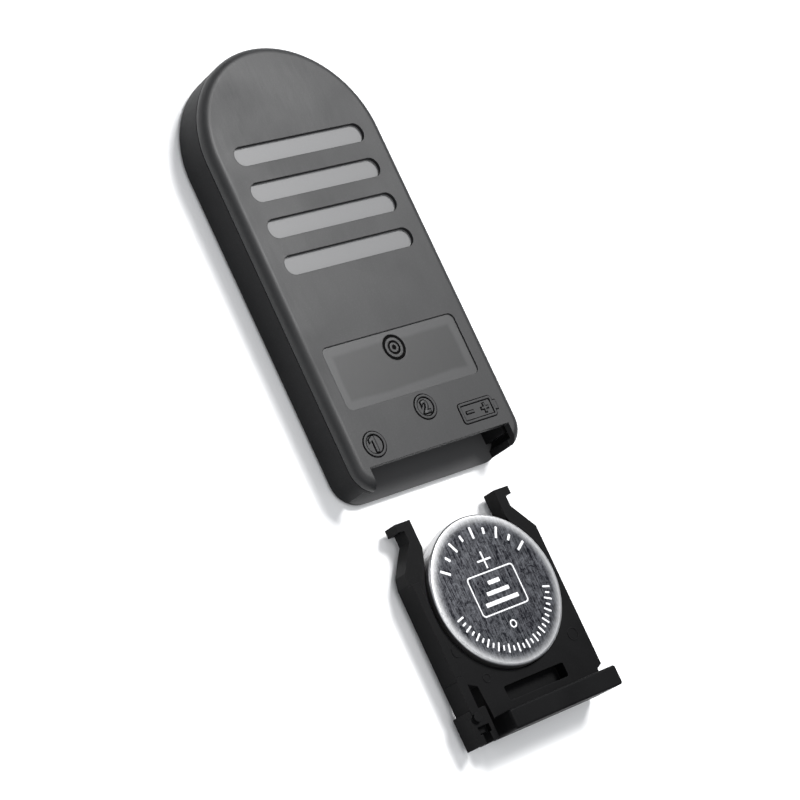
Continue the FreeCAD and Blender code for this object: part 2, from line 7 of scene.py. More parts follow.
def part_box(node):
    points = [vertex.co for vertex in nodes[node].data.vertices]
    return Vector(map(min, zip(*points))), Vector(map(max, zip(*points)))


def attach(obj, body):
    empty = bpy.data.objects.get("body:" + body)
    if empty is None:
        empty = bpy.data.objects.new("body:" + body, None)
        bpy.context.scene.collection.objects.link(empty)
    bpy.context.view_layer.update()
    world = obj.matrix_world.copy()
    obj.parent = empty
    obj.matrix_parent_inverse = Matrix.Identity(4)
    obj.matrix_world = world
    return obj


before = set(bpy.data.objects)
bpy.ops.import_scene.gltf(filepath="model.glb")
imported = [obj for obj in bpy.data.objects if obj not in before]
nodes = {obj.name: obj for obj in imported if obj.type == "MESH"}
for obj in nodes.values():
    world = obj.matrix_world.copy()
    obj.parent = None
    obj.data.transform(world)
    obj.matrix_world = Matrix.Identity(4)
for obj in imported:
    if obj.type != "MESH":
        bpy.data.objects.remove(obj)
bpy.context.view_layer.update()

mm = 0.001
scene = bpy.context.scene

# places that everything below is measured from
coverLow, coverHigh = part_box("back_cover")
cellLow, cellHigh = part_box("cell_can")
buttonLow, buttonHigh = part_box("shutter_button")
cellMiddle = (cellLow + cellHigh) / 2
faceHeight = coverHigh.z / mm


cameraSetup = {
    "back": (-0.6411, -0.1637, 0.7498),   # from the object towards the camera
    "right": (0.7337, -0.4171, 0.5363),   # along the picture's lower edge
    "lens": 114.8,
    "sensor": 36,
    "distance": 0.322,
    "clip": (0.01, 20),
    "target": (0.3, -19.2, 2.75),         # millimetres
}


def addCamera():
    data = bpy.data.cameras.new("studioCamera")
    data.lens = cameraSetup["lens"]
    data.sensor_width = cameraSetup["sensor"]
    data.clip_start, data.clip_end = cameraSetup["clip"]
    camera = bpy.data.objects.new("studioCamera", data)
    scene.collection.objects.link(camera)
    back = Vector(cameraSetup["back"]).normalized()
    right = Vector(cameraSetup["right"])
    right = (right - back * right.dot(back)).normalized()
    turn = Matrix((right, back.cross(right), back)).transposed().to_4x4()
    target = Vector(cameraSetup["target"]) * mm
    camera.matrix_world = Matrix.Translation(target + back * cameraSetup["distance"]) @ turn
    scene.camera = camera


addCamera()
print("camera set")


def emptyMaterial(name):
    material = bpy.data.materials.new(name)
    material.use_nodes = True
    material.node_tree.nodes.clear()
    return material, material.node_tree, material.node_tree.links


# a frame round the nodes of one effect, laid out as a row of its own
def framed(tree, label, *members):
    frameNode = tree.nodes.new("NodeFrame")
    frameNode.label = label
    row = sum(node.type == "FRAME" for node in tree.nodes)
    for column, member in enumerate(members):
        member.parent = frameNode
        member.location = (220 * column, -360 * row)


# moulded plastic: fine spark-eroded grain, slow uneven sheen, faint drag lines, polished edges
def mouldedPlastic(name, look):
    material, tree, links = emptyMaterial(name)

    place = tree.nodes.new("ShaderNodeTexCoord")
    place.label = "place on the part"
    place.location = (-500, 0)

    grain = tree.nodes.new("ShaderNodeTexNoise")
    grain.label = "spark-eroded grain"
    grain.inputs["Scale"].default_value = look["grainScale"]
    grain.inputs["Detail"].default_value = 3.0
    grain.inputs["Roughness"].default_value = 0.62
    links.new(place.outputs["Object"], grain.inputs["Vector"])

    pits = tree.nodes.new("ShaderNodeTexVoronoi")
    pits.label = "shallow pits between the grains"
    pits.feature = "SMOOTH_F1"
    pits.inputs["Scale"].default_value = look["grainScale"] * 0.55
    pits.inputs["Smoothness"].default_value = 0.6
    links.new(place.outputs["Object"], pits.inputs["Vector"])

    dragPlace = tree.nodes.new("ShaderNodeMapping")
    dragPlace.label = "drawn out along the mould's flow"
    dragPlace.inputs["Scale"].default_value = (1.0, look["dragStretch"], 1.0)
    links.new(place.outputs["Object"], dragPlace.inputs["Vector"])

    drag = tree.nodes.new("ShaderNodeTexNoise")
    drag.label = "handling drag lines"
    drag.inputs["Scale"].default_value = 2600.0
    drag.inputs["Detail"].default_value = 5.0
    drag.inputs["Roughness"].default_value = 0.7
    links.new(dragPlace.outputs["Vector"], drag.inputs["Vector"])

    cloud = tree.nodes.new("ShaderNodeTexNoise")
    cloud.label = "slow uneven sheen"
    cloud.inputs["Scale"].default_value = 110.0
    cloud.inputs["Detail"].default_value = 4.0
    cloud.inputs["Distortion"].default_value = 0.4
    links.new(place.outputs["Object"], cloud.inputs["Vector"])

    rounded = tree.nodes.new("ShaderNodeBevel")
    rounded.label = "rubbed edge"
    rounded.samples = 6
    rounded.inputs["Radius"].default_value = look["edgeRadius"]

    shape = tree.nodes.new("ShaderNodeNewGeometry")
    shape.label = "true surface"

    turnAway = tree.nodes.new("ShaderNodeVectorMath")
    turnAway.label = "how far the edge turns"
    turnAway.operation = "DOT_PRODUCT"
    links.new(rounded.outputs["Normal"], turnAway.inputs[0])
    links.new(shape.outputs["Normal"], turnAway.inputs[1])

    edge = tree.nodes.new("ShaderNodeMapRange")
    edge.label = "edge mask"
    edge.inputs["From Min"].default_value = 0.995
    edge.inputs["From Max"].default_value = 0.86
    links.new(turnAway.outputs["Value"], edge.inputs["Value"])

    tone = tree.nodes.new("ShaderNodeValToRGB")
    tone.label = "pigment, dark to light"
    for stop, at, end in zip(tone.color_ramp.elements, (0.3, 0.72), ("dark", "light")):
        stop.position, stop.color = at, (*look[end], 1)
    links.new(cloud.outputs["Fac"], tone.inputs["Fac"])

    speckle = tree.nodes.new("ShaderNodeMix")
    speckle.label = "lighter tips of the grain"
    speckle.data_type = "RGBA"
    speckle.inputs["B"].default_value = (*look["tip"], 1)
    speckleAmount = tree.nodes.new("ShaderNodeMapRange")
    speckleAmount.label = "how much tip shows"
    speckleAmount.inputs["From Min"].default_value = 0.52
    speckleAmount.inputs["From Max"].default_value = 0.78
    speckleAmount.inputs["To Max"].default_value = 0.55
    links.new(grain.outputs["Fac"], speckleAmount.inputs["Value"])
    links.new(speckleAmount.outputs["Result"], speckle.inputs["Factor"])
    links.new(tone.outputs["Color"], speckle.inputs["A"])

    worn = tree.nodes.new("ShaderNodeMix")
    worn.label = "paler, rubbed edge"
    worn.data_type = "RGBA"
    worn.inputs["B"].default_value = (*look["edge"], 1)
    wornAmount = tree.nodes.new("ShaderNodeMath")
    wornAmount.label = "wear, broken up by the sheen"
    wornAmount.operation = "MULTIPLY"
    links.new(edge.outputs["Result"], wornAmount.inputs[0])
    links.new(cloud.outputs["Fac"], wornAmount.inputs[1])
    links.new(wornAmount.outputs["Value"], worn.inputs["Factor"])
    links.new(speckle.outputs["Result"], worn.inputs["A"])

    finish = tree.nodes.new("ShaderNodeMapRange")
    finish.label = "roughness from the sheen"
    finish.inputs["From Min"].default_value = 0.25
    finish.inputs["From Max"].default_value = 0.75
    finish.inputs["To Min"].default_value = look["smooth"]
    finish.inputs["To Max"].default_value = look["rough"]
    links.new(cloud.outputs["Fac"], finish.inputs["Value"])

    dragGloss = tree.nodes.new("ShaderNodeMath")
    dragGloss.label = "drag lines change the gloss"
    dragGloss.operation = "MULTIPLY_ADD"
    dragGloss.inputs[1].default_value = 0.10
    links.new(drag.outputs["Fac"], dragGloss.inputs[0])
    links.new(finish.outputs["Result"], dragGloss.inputs[2])

    edgeGloss = tree.nodes.new("ShaderNodeMath")
    edgeGloss.label = "polished edge"
    edgeGloss.operation = "MULTIPLY_ADD"
    edgeGloss.inputs[1].default_value = -0.12
    links.new(edge.outputs["Result"], edgeGloss.inputs[0])
    links.new(dragGloss.outputs["Value"], edgeGloss.inputs[2])

    height = tree.nodes.new("ShaderNodeMath")
    height.label = "grain over pits"
    height.operation = "MULTIPLY_ADD"
    height.inputs[1].default_value = -0.5
    links.new(pits.outputs["Distance"], height.inputs[0])
    links.new(grain.outputs["Fac"], height.inputs[2])

    dragBump = tree.nodes.new("ShaderNodeBump")
    dragBump.label = "drag line relief"
    dragBump.inputs["Strength"].default_value = 0.25
    dragBump.inputs["Distance"].default_value = look["grainDepth"] * 0.5
    links.new(drag.outputs["Fac"], dragBump.inputs["Height"])
    links.new(rounded.outputs["Normal"], dragBump.inputs["Normal"])

    grainBump = tree.nodes.new("ShaderNodeBump")
    grainBump.label = "grain relief"
    grainBump.inputs["Strength"].default_value = look["grainStrength"]
    grainBump.inputs["Distance"].default_value = look["grainDepth"]
    links.new(height.outputs["Value"], grainBump.inputs["Height"])
    links.new(dragBump.outputs["Normal"], grainBump.inputs["Normal"])

    plastic = tree.nodes.new("ShaderNodeBsdfPrincipled")
    plastic.label = look["label"]
    plastic.location = (2500, 0)
    plastic.inputs["IOR"].default_value = 1.5
    plastic.inputs["Specular IOR Level"].default_value = look["shine"]
    links.new(grainBump.outputs["Normal"], plastic.inputs["Normal"])

    surface = tree.nodes.new("ShaderNodeOutputMaterial")
    surface.label = "surface"
    surface.location = (2800, 0)
    links.new(plastic.outputs["BSDF"], surface.inputs["Surface"])

    colourEnd, glossEnd = worn.outputs["Result"], edgeGloss.outputs["Value"]
    if look.get("recess"):
        # floors sunk into the back: slots paler as a painted highlight, the gate mark's floor near black as
        # painted shade, a label recess lighter along its border as a painted sheen; in the bay the same code
        # paints its floor paler as painted light
        recess = look["recess"]
        split = tree.nodes.new("ShaderNodeSeparateXYZ")
        split.label = "place, by axis"
        links.new(place.outputs["Object"], split.inputs["Vector"])

        facing = tree.nodes.new("ShaderNodeSeparateXYZ")
        facing.label = "which way it faces"
        links.new(shape.outputs["Normal"], facing.inputs["Vector"])

        level = tree.nodes.new("ShaderNodeMath")
        level.label = "level surfaces only"
        level.operation = "GREATER_THAN"
        level.inputs[1].default_value = 0.97
        links.new(facing.outputs["Z"], level.inputs[0])

        depth = tree.nodes.new("ShaderNodeMapRange")
        depth.label = "depth below the face"
        depth.inputs["From Min"].default_value = recess["bottom"]
        depth.inputs["From Max"].default_value = recess["top"]
        links.new(split.outputs["Z"], depth.inputs["Value"])

        floors = tree.nodes.new("ShaderNodeValToRGB")
        floors.label = "floor by depth"
        floors.color_ramp.interpolation = "CONSTANT"
        stops = floors.color_ramp.elements
        stops.remove(stops[1])
        for number, (at, colour, share) in enumerate(recess["floors"]):
            stop = stops.new(at) if number else stops[0]
            stop.color = (*colour, share)
        links.new(depth.outputs["Result"], floors.inputs["Fac"])

        amount = tree.nodes.new("ShaderNodeMath")
        amount.label = "how much floor shows"
        amount.operation = "MULTIPLY"
        links.new(floors.outputs["Alpha"], amount.inputs[0])
        links.new(level.outputs["Value"], amount.inputs[1])

        fromMiddle = tree.nodes.new("ShaderNodeVectorMath")
        fromMiddle.label = "from the label's middle"
        fromMiddle.operation = "SUBTRACT"
        fromMiddle.inputs[1].default_value = recess["labelMiddle"]
        links.new(place.outputs["Object"], fromMiddle.inputs[0])

        mirrored = tree.nodes.new("ShaderNodeVectorMath")
        mirrored.label = "same on all four sides"
        mirrored.operation = "ABSOLUTE"
        links.new(fromMiddle.outputs["Vector"], mirrored.inputs[0])

        beyond = tree.nodes.new("ShaderNodeVectorMath")
        beyond.label = "past the inner field"
        beyond.operation = "SUBTRACT"
        beyond.inputs[1].default_value = recess["labelField"]
        links.new(mirrored.outputs["Vector"], beyond.inputs[0])

        sides = tree.nodes.new("ShaderNodeSeparateXYZ")
        sides.label = "by axis"
        links.new(beyond.outputs["Vector"], sides.inputs["Vector"])

        outer = tree.nodes.new("ShaderNodeMath")
        outer.label = "nearest side"
        outer.operation = "SMOOTH_MAX"
        outer.inputs[2].default_value = 0.4 * mm
        links.new(sides.outputs["X"], outer.inputs[0])
        links.new(sides.outputs["Y"], outer.inputs[1])

        ragged = tree.nodes.new("ShaderNodeMath")
        ragged.label = "ragged by the sheen"
        ragged.operation = "MULTIPLY_ADD"
        ragged.inputs[1].default_value = 1.2 * mm
        links.new(cloud.outputs["Fac"], ragged.inputs[0])
        links.new(outer.outputs["Value"], ragged.inputs[2])

        # painted sheen: the label recess floor is made lighter in a ragged band along its border
        border = tree.nodes.new("ShaderNodeMapRange")
        border.label = "brighter border"
        border.interpolation_type = "SMOOTHSTEP"
        border.inputs["From Min"].default_value = -1.0 * mm
        border.inputs["From Max"].default_value = -0.3 * mm
        border.inputs["To Min"].default_value = 1.0
        border.inputs["To Max"].default_value = recess["borderSheenGain"]
        links.new(ragged.outputs["Value"], border.inputs["Value"])

        lit = tree.nodes.new("ShaderNodeVectorMath")
        lit.label = "border on the floor colour"
        lit.operation = "SCALE"
        links.new(floors.outputs["Color"], lit.inputs[0])
        links.new(border.outputs["Result"], lit.inputs["Scale"])

        paler = tree.nodes.new("ShaderNodeMix")
        paler.label = "recess floor colour"
        paler.data_type = "RGBA"
        links.new(amount.outputs["Value"], paler.inputs["Factor"])
        links.new(colourEnd, paler.inputs["A"])
        links.new(lit.outputs["Vector"], paler.inputs["B"])

        smoother = tree.nodes.new("ShaderNodeMix")
        smoother.label = "recess floor roughness"
        smoother.inputs["B"].default_value = recess["rough"]
        links.new(amount.outputs["Value"], smoother.inputs["Factor"])
        links.new(glossEnd, smoother.inputs["A"])
        colourEnd, glossEnd = paler.outputs["Result"], smoother.outputs["Result"]
        framed(tree, "floors by depth", split, facing, level, depth, floors, amount, lit, paler, smoother)
        framed(tree, "label border", fromMiddle, mirrored, beyond, sides, outer, ragged, border)

    links.new(colourEnd, plastic.inputs["Base Color"])
    links.new(glossEnd, plastic.inputs["Roughness"])
    framed(tree, "pigment", tone, speckle, speckleAmount)
    framed(tree, "grain and relief", grain, pits, height, grainBump, dragBump)
    framed(tree, "edges", rounded, shape, turnAway, edge, wornAmount, worn, edgeGloss)
    framed(tree, "sheen", cloud, finish, drag, dragPlace, dragGloss)
    return material


# sheet or drawn metal: fine crossed scratches, lathe rings about a centre, rubbed edges, and a paler band
# near the rim that is partly polish and partly a painted highlight
def workedMetal(name, look):
    material, tree, links = emptyMaterial(name)

    place = tree.nodes.new("ShaderNodeTexCoord")
    place.label = "place on the part"
    place.location = (-500, 0)

    centred = tree.nodes.new("ShaderNodeMapping")
    centred.label = "measured from the part's middle"
    centred.location = (-250, 0)
    centred.inputs["Location"].default_value = tuple(-value for value in look["centre"])
    links.new(place.outputs["Object"], centred.inputs["Vector"])

    flatten = tree.nodes.new("ShaderNodeVectorMath")
    flatten.label = "seen from above"
    flatten.operation = "MULTIPLY"
    flatten.inputs[1].default_value = (1.0, 1.0, 0.0)
    links.new(centred.outputs["Vector"], flatten.inputs[0])

    outward = tree.nodes.new("ShaderNodeVectorMath")
    outward.label = "distance from the axis"
    outward.operation = "LENGTH"
    links.new(flatten.outputs["Vector"], outward.inputs[0])

    rings = tree.nodes.new("ShaderNodeTexWave")
    rings.label = "press and lathe rings"
    rings.wave_type = "RINGS"
    rings.rings_direction = "Z"
    rings.inputs["Scale"].default_value = look["ringScale"]
    rings.inputs["Distortion"].default_value = 1.2
    rings.inputs["Detail"].default_value = 3.0
    links.new(flatten.outputs["Vector"], rings.inputs["Vector"])

    brushPlace = tree.nodes.new("ShaderNodeMapping")
    brushPlace.label = "brushing direction"
    brushPlace.inputs["Rotation"].default_value = (0.0, 0.0, math.radians(look["brushTurn"]))
    brushPlace.inputs["Scale"].default_value = (1.0, 0.06, 1.0)
    links.new(centred.outputs["Vector"], brushPlace.inputs["Vector"])

    brush = tree.nodes.new("ShaderNodeTexNoise")
    brush.label = "brushed lines"
    brush.inputs["Scale"].default_value = look["brushScale"]
    brush.inputs["Detail"].default_value = 6.0
    brush.inputs["Roughness"].default_value = 0.75
    links.new(brushPlace.outputs["Vector"], brush.inputs["Vector"])

    crossPlace = tree.nodes.new("ShaderNodeMapping")
    crossPlace.label = "second brushing direction"
    crossPlace.inputs["Rotation"].default_value = (0.0, 0.0, math.radians(look["brushTurn"] + 68))
    crossPlace.inputs["Scale"].default_value = (1.0, 0.09, 1.0)
    links.new(centred.outputs["Vector"], crossPlace.inputs["Vector"])

    cross = tree.nodes.new("ShaderNodeTexNoise")
    cross.label = "crossing lines"
    cross.inputs["Scale"].default_value = look["brushScale"] * 0.8
    cross.inputs["Detail"].default_value = 5.0
    cross.inputs["Roughness"].default_value = 0.7
    links.new(crossPlace.outputs["Vector"], cross.inputs["Vector"])

    mottle = tree.nodes.new("ShaderNodeTexNoise")
    mottle.label = "rolled-sheet mottle"
    mottle.inputs["Scale"].default_value = look["mottleScale"]
    mottle.inputs["Detail"].default_value = 8.0
    mottle.inputs["Roughness"].default_value = 0.8
    mottle.inputs["Distortion"].default_value = 0.8
    links.new(centred.outputs["Vector"], mottle.inputs["Vector"])

    weave = tree.nodes.new("ShaderNodeMath")
    weave.label = "both brushings together"
    weave.operation = "MAXIMUM"
    links.new(brush.outputs["Fac"], weave.inputs[0])
    links.new(cross.outputs["Fac"], weave.inputs[1])

    grain = tree.nodes.new("ShaderNodeMath")
    grain.label = "brushing broken by the mottle"
    grain.operation = "MULTIPLY_ADD"
    grain.inputs[1].default_value = 0.55
    links.new(weave.outputs["Value"], grain.inputs[0])
    mottleShare = tree.nodes.new("ShaderNodeMath")
    mottleShare.label = "share of mottle"
    mottleShare.operation = "MULTIPLY"
    mottleShare.inputs[1].default_value = 0.45
    links.new(mottle.outputs["Fac"], mottleShare.inputs[0])
    links.new(mottleShare.outputs["Value"], grain.inputs[2])

    tone = tree.nodes.new("ShaderNodeValToRGB")
    tone.label = "metal tone, dark to bright"
    for stop, at, end in zip(tone.color_ramp.elements, (look["darkAt"], look["lightAt"]), ("dark", "light")):
        stop.position, stop.color = at, (*look[end], 1)
    links.new(grain.outputs["Value"], tone.inputs["Fac"])

    # paler band near the rim: partly polish, partly a painted highlight where the rounded rim catches the
    # light
    rim = tree.nodes.new("ShaderNodeMapRange")
    rim.label = "bright band near the rim"
    rim.interpolation_type = "SMOOTHSTEP"
    rim.inputs["From Min"].default_value = look["rimFrom"]
    rim.inputs["From Max"].default_value = look["rimTo"]
    rim.inputs["To Max"].default_value = look["rimShare"]
    links.new(outward.outputs["Value"], rim.inputs["Value"])

    rounded = tree.nodes.new("ShaderNodeBevel")
    rounded.label = "rubbed edge"
    rounded.samples = 6
    rounded.inputs["Radius"].default_value = look["edgeRadius"]

    bright = tree.nodes.new("ShaderNodeMix")
    bright.label = "rim polish and painted highlight"
    bright.data_type = "RGBA"
    bright.inputs["B"].default_value = (*look["rim"], 1)
    links.new(rim.outputs["Result"], bright.inputs["Factor"])
    links.new(tone.outputs["Color"], bright.inputs["A"])

    finish = tree.nodes.new("ShaderNodeMapRange")
    finish.label = "roughness from the brushing"
    finish.inputs["From Min"].default_value = 0.3
    finish.inputs["From Max"].default_value = 0.75
    finish.inputs["To Min"].default_value = look["rough"]
    finish.inputs["To Max"].default_value = look["smooth"]
    links.new(grain.outputs["Value"], finish.inputs["Value"])

    satin = tree.nodes.new("ShaderNodeMix")
    satin.label = "satin rim"
    satin.inputs["B"].default_value = look["rimRough"]
    links.new(rim.outputs["Result"], satin.inputs["Factor"])
    links.new(finish.outputs["Result"], satin.inputs["A"])

    relief = tree.nodes.new("ShaderNodeBump")
    relief.label = "brushing relief"
    relief.inputs["Strength"].default_value = look["reliefStrength"]
    relief.inputs["Distance"].default_value = look["relief"]
    links.new(grain.outputs["Value"], relief.inputs["Height"])
    links.new(rounded.outputs["Normal"], relief.inputs["Normal"])

    ringRelief = tree.nodes.new("ShaderNodeBump")
    ringRelief.label = "ring relief"
    ringRelief.inputs["Strength"].default_value = look["ringStrength"]
    ringRelief.inputs["Distance"].default_value = look["relief"]
    links.new(rings.outputs["Fac"], ringRelief.inputs["Height"])
    links.new(relief.outputs["Normal"], ringRelief.inputs["Normal"])

    metal = tree.nodes.new("ShaderNodeBsdfPrincipled")
    metal.label = look["label"]
    metal.location = (2500, 0)
    metal.inputs["Metallic"].default_value = look["metallic"]
    links.new(bright.outputs["Result"], metal.inputs["Base Color"])
    links.new(satin.outputs["Result"], metal.inputs["Roughness"])
    links.new(ringRelief.outputs["Normal"], metal.inputs["Normal"])

    surface = tree.nodes.new("ShaderNodeOutputMaterial")
    surface.label = "surface"
    surface.location = (2800, 0)
    links.new(metal.outputs["BSDF"], surface.inputs["Surface"])
    framed(tree, "brushing", brushPlace, brush, crossPlace, cross, weave, grain, mottle, mottleShare)
    framed(tree, "tone and gloss", tone, finish)
    framed(tree, "rim and rings", flatten, outward, rim, rings, bright, satin)
    framed(tree, "relief", rounded, relief, ringRelief)
    return material


# clear or smoked resin: tint, faint flow lines inside, slightly orange-peeled skin
def tintedResin(name, look):
    material, tree, links = emptyMaterial(name)

    place = tree.nodes.new("ShaderNodeTexCoord")
    place.label = "place on the part"
    place.location = (-500, 0)

    flow = tree.nodes.new("ShaderNodeTexNoise")
    flow.label = "flow lines in the resin"
    flow.inputs["Scale"].default_value = 420.0
    flow.inputs["Detail"].default_value = 4.0
    flow.inputs["Distortion"].default_value = 2.2
    links.new(place.outputs["Object"], flow.inputs["Vector"])

    peel = tree.nodes.new("ShaderNodeTexNoise")
    peel.label = "orange peel"
    peel.inputs["Scale"].default_value = 1900.0
    peel.inputs["Detail"].default_value = 2.0
    links.new(place.outputs["Object"], peel.inputs["Vector"])

    tint = tree.nodes.new("ShaderNodeValToRGB")
    tint.label = "tint, thin to thick"
    for stop, at, end in zip(tint.color_ramp.elements, (0.3, 0.75), ("dark", "light")):
        stop.position, stop.color = at, (*look[end], 1)
    links.new(flow.outputs["Fac"], tint.inputs["Fac"])

    finish = tree.nodes.new("ShaderNodeMapRange")
    finish.label = "roughness from the skin"
    finish.inputs["To Min"].default_value = look["smooth"]
    finish.inputs["To Max"].default_value = look["rough"]
    links.new(peel.outputs["Fac"], finish.inputs["Value"])

    rounded = tree.nodes.new("ShaderNodeBevel")
    rounded.label = "rounded edge"
    rounded.samples = 6
    rounded.inputs["Radius"].default_value = 0.08 * mm

    skin = tree.nodes.new("ShaderNodeBump")
    skin.label = "skin relief"
    skin.inputs["Strength"].default_value = 0.3
    skin.inputs["Distance"].default_value = 0.01 * mm
    links.new(peel.outputs["Fac"], skin.inputs["Height"])
    links.new(rounded.outputs["Normal"], skin.inputs["Normal"])

    resin = tree.nodes.new("ShaderNodeBsdfPrincipled")
    resin.label = look["label"]
    resin.location = (2500, 0)
    resin.inputs["IOR"].default_value = 1.53
    resin.inputs["Transmission Weight"].default_value = look["clear"]
    links.new(tint.outputs["Color"], resin.inputs["Base Color"])
    links.new(finish.outputs["Result"], resin.inputs["Roughness"])
    links.new(skin.outputs["Normal"], resin.inputs["Normal"])

    surface = tree.nodes.new("ShaderNodeOutputMaterial")
    surface.label = "surface"
    surface.location = (2800, 0)
    links.new(resin.outputs["BSDF"], surface.inputs["Surface"])
    framed(tree, "tint", flow, tint)
    framed(tree, "skin", peel, finish, rounded, skin)
    return material


# fired or pressed grains: ceramic, fibre sheet, electrode powder, paper floor
def pressedGrain(name, look):
    material, tree, links = emptyMaterial(name)

    place = tree.nodes.new("ShaderNodeTexCoord")
    place.label = "place on the part"
    place.location = (-500, 0)

    cells = tree.nodes.new("ShaderNodeTexVoronoi")
    cells.label = "pressed grains"
    cells.inputs["Scale"].default_value = look["grainScale"]
    links.new(place.outputs["Object"], cells.inputs["Vector"])

    drift = tree.nodes.new("ShaderNodeTexNoise")
    drift.label = "slow colour drift"
    drift.inputs["Scale"].default_value = look["driftScale"]
    drift.inputs["Detail"].default_value = 6.0
    drift.inputs["Roughness"].default_value = 0.6
    links.new(place.outputs["Object"], drift.inputs["Vector"])

    tone = tree.nodes.new("ShaderNodeValToRGB")
    tone.label = "grain tone"
    for stop, at, end in zip(tone.color_ramp.elements, (0.3, 0.7), ("dark", "light")):
        stop.position, stop.color = at, (*look[end], 1)
    links.new(drift.outputs["Fac"], tone.inputs["Fac"])

    finish = tree.nodes.new("ShaderNodeMapRange")
    finish.label = "roughness from the drift"
    finish.inputs["To Min"].default_value = look["smooth"]
    finish.inputs["To Max"].default_value = look["rough"]
    links.new(drift.outputs["Fac"], finish.inputs["Value"])

    grainBump = tree.nodes.new("ShaderNodeBump")
    grainBump.label = "grain relief"
    grainBump.inputs["Strength"].default_value = look["reliefStrength"]
    grainBump.inputs["Distance"].default_value = look["relief"]
    links.new(cells.outputs["Distance"], grainBump.inputs["Height"])

    body = tree.nodes.new("ShaderNodeBsdfPrincipled")
    body.label = look["label"]
    body.location = (2500, 0)
    body.inputs["Specular IOR Level"].default_value = look["shine"]
    links.new(tone.outputs["Color"], body.inputs["Base Color"])
    links.new(finish.outputs["Result"], body.inputs["Roughness"])
    links.new(grainBump.outputs["Normal"], body.inputs["Normal"])

    surface = tree.nodes.new("ShaderNodeOutputMaterial")
    surface.label = "surface"
    surface.location = (2800, 0)
    links.new(body.outputs["BSDF"], surface.inputs["Surface"])
    if look.get("openBelow"):
        side = tree.nodes.new("ShaderNodeNewGeometry")
        side.label = "upper or lower side"

        clear = tree.nodes.new("ShaderNodeBsdfTransparent")
        clear.label = "nothing to see from below"

        oneSided = tree.nodes.new("ShaderNodeMixShader")
        oneSided.label = "one-sided sheet"
        links.new(side.outputs["Backfacing"], oneSided.inputs[0])
        links.new(body.outputs["BSDF"], oneSided.inputs[1])
        links.new(clear.outputs["BSDF"], oneSided.inputs[2])
        links.new(oneSided.outputs["Shader"], surface.inputs["Surface"])
        framed(tree, "one-sided", side, clear, oneSided)
    framed(tree, "colour", drift, tone)
    framed(tree, "grains", cells, grainBump, finish)
    return material


# solder mask over glass weave, with copper runs showing through
def boardLaminate(name, look):
    material, tree, links = emptyMaterial(name)

    place = tree.nodes.new("ShaderNodeTexCoord")
    place.label = "place on the board"
    place.location = (-500, 0)

    weave = tree.nodes.new("ShaderNodeTexBrick")
    weave.label = "glass weave"
    weave.inputs["Scale"].default_value = 1400.0
    weave.inputs["Mortar Size"].default_value = 0.04
    weave.inputs["Color1"].default_value = (*look["mask"], 1)
    weave.inputs["Color2"].default_value = (*look["maskDeep"], 1)
    weave.inputs["Mortar"].default_value = (*look["maskDeep"], 1)
    links.new(place.outputs["Object"], weave.inputs["Vector"])

    runs = tree.nodes.new("ShaderNodeTexWave")
    runs.label = "copper runs"
    runs.inputs["Scale"].default_value = 190.0
    runs.inputs["Distortion"].default_value = 3.5
    runs.inputs["Detail Scale"].default_value = 0.6
    links.new(place.outputs["Object"], runs.inputs["Vector"])

    track = tree.nodes.new("ShaderNodeMapRange")
    track.label = "track edge"
    track.inputs["From Min"].default_value = 0.72
    track.inputs["From Max"].default_value = 0.76
    links.new(runs.outputs["Fac"], track.inputs["Value"])

    colour = tree.nodes.new("ShaderNodeMix")
    colour.label = "mask over copper"
    colour.data_type = "RGBA"
    colour.inputs["B"].default_value = (*look["copper"], 1)
    links.new(track.outputs["Result"], colour.inputs["Factor"])
    links.new(weave.outputs["Color"], colour.inputs["A"])

    step = tree.nodes.new("ShaderNodeBump")
    step.label = "track height"
    step.inputs["Strength"].default_value = 0.6
    step.inputs["Distance"].default_value = 0.03 * mm
    links.new(track.outputs["Result"], step.inputs["Height"])

    finish = tree.nodes.new("ShaderNodeMapRange")
    finish.label = "gloss of the mask"
    finish.inputs["To Min"].default_value = 0.22
    finish.inputs["To Max"].default_value = 0.4
    links.new(weave.outputs["Fac"], finish.inputs["Value"])

    board = tree.nodes.new("ShaderNodeBsdfPrincipled")
    board.label = "laminate"
    board.location = (2500, 0)
    links.new(colour.outputs["Result"], board.inputs["Base Color"])
    links.new(finish.outputs["Result"], board.inputs["Roughness"])
    links.new(step.outputs["Normal"], board.inputs["Normal"])

    surface = tree.nodes.new("ShaderNodeOutputMaterial")
    surface.label = "surface"
    surface.location = (2800, 0)
    links.new(board.outputs["BSDF"], surface.inputs["Surface"])
    framed(tree, "weave and copper", weave, runs, track, colour)
    framed(tree, "skin", step, finish)
    return material


casePlastic = {
    "label": "grained black plastic", "grainScale": 5200.0, "grainDepth": 0.012 * mm,
    "grainStrength": 0.45, "dragStretch": 0.08, "edgeRadius": 0.12 * mm,
    "dark": (0.007, 0.007, 0.0075), "light": (0.012, 0.012, 0.0125), "tip": (0.022, 0.022, 0.023),
    "edge": (0.022, 0.022, 0.0225), "smooth": 0.40, "rough": 0.52, "shine": 0.09,
}
backPlastic = dict(casePlastic, label="grained black back", shine=0.37)
noFloor = ((0.0, 0.0, 0.0), 0.0)
backPlastic["recess"] = {
    "bottom": 6.0 * mm, "top": 6.6 * mm, "rough": 0.42,
    "floors": (                          # from the shell's inside up to the face
        (0.0, *noFloor),
        (0.1, (0.033, 0.033, 0.0335), 1.0),   # slots, paler: painted highlight of the light their smoother floors reflect
        (0.22, (0.002, 0.002, 0.002), 1.0),   # gate mark, near black: painted shade in its rings
        (0.6, (0.008, 0.008, 0.0082), 1.0),   # label recess
        (0.93, *noFloor),
    ),
    "labelMiddle": (0, -15.3 * mm, 0), "labelField": (11.2 * mm, 4.3 * mm, 0), "borderSheenGain": 3.2,
}
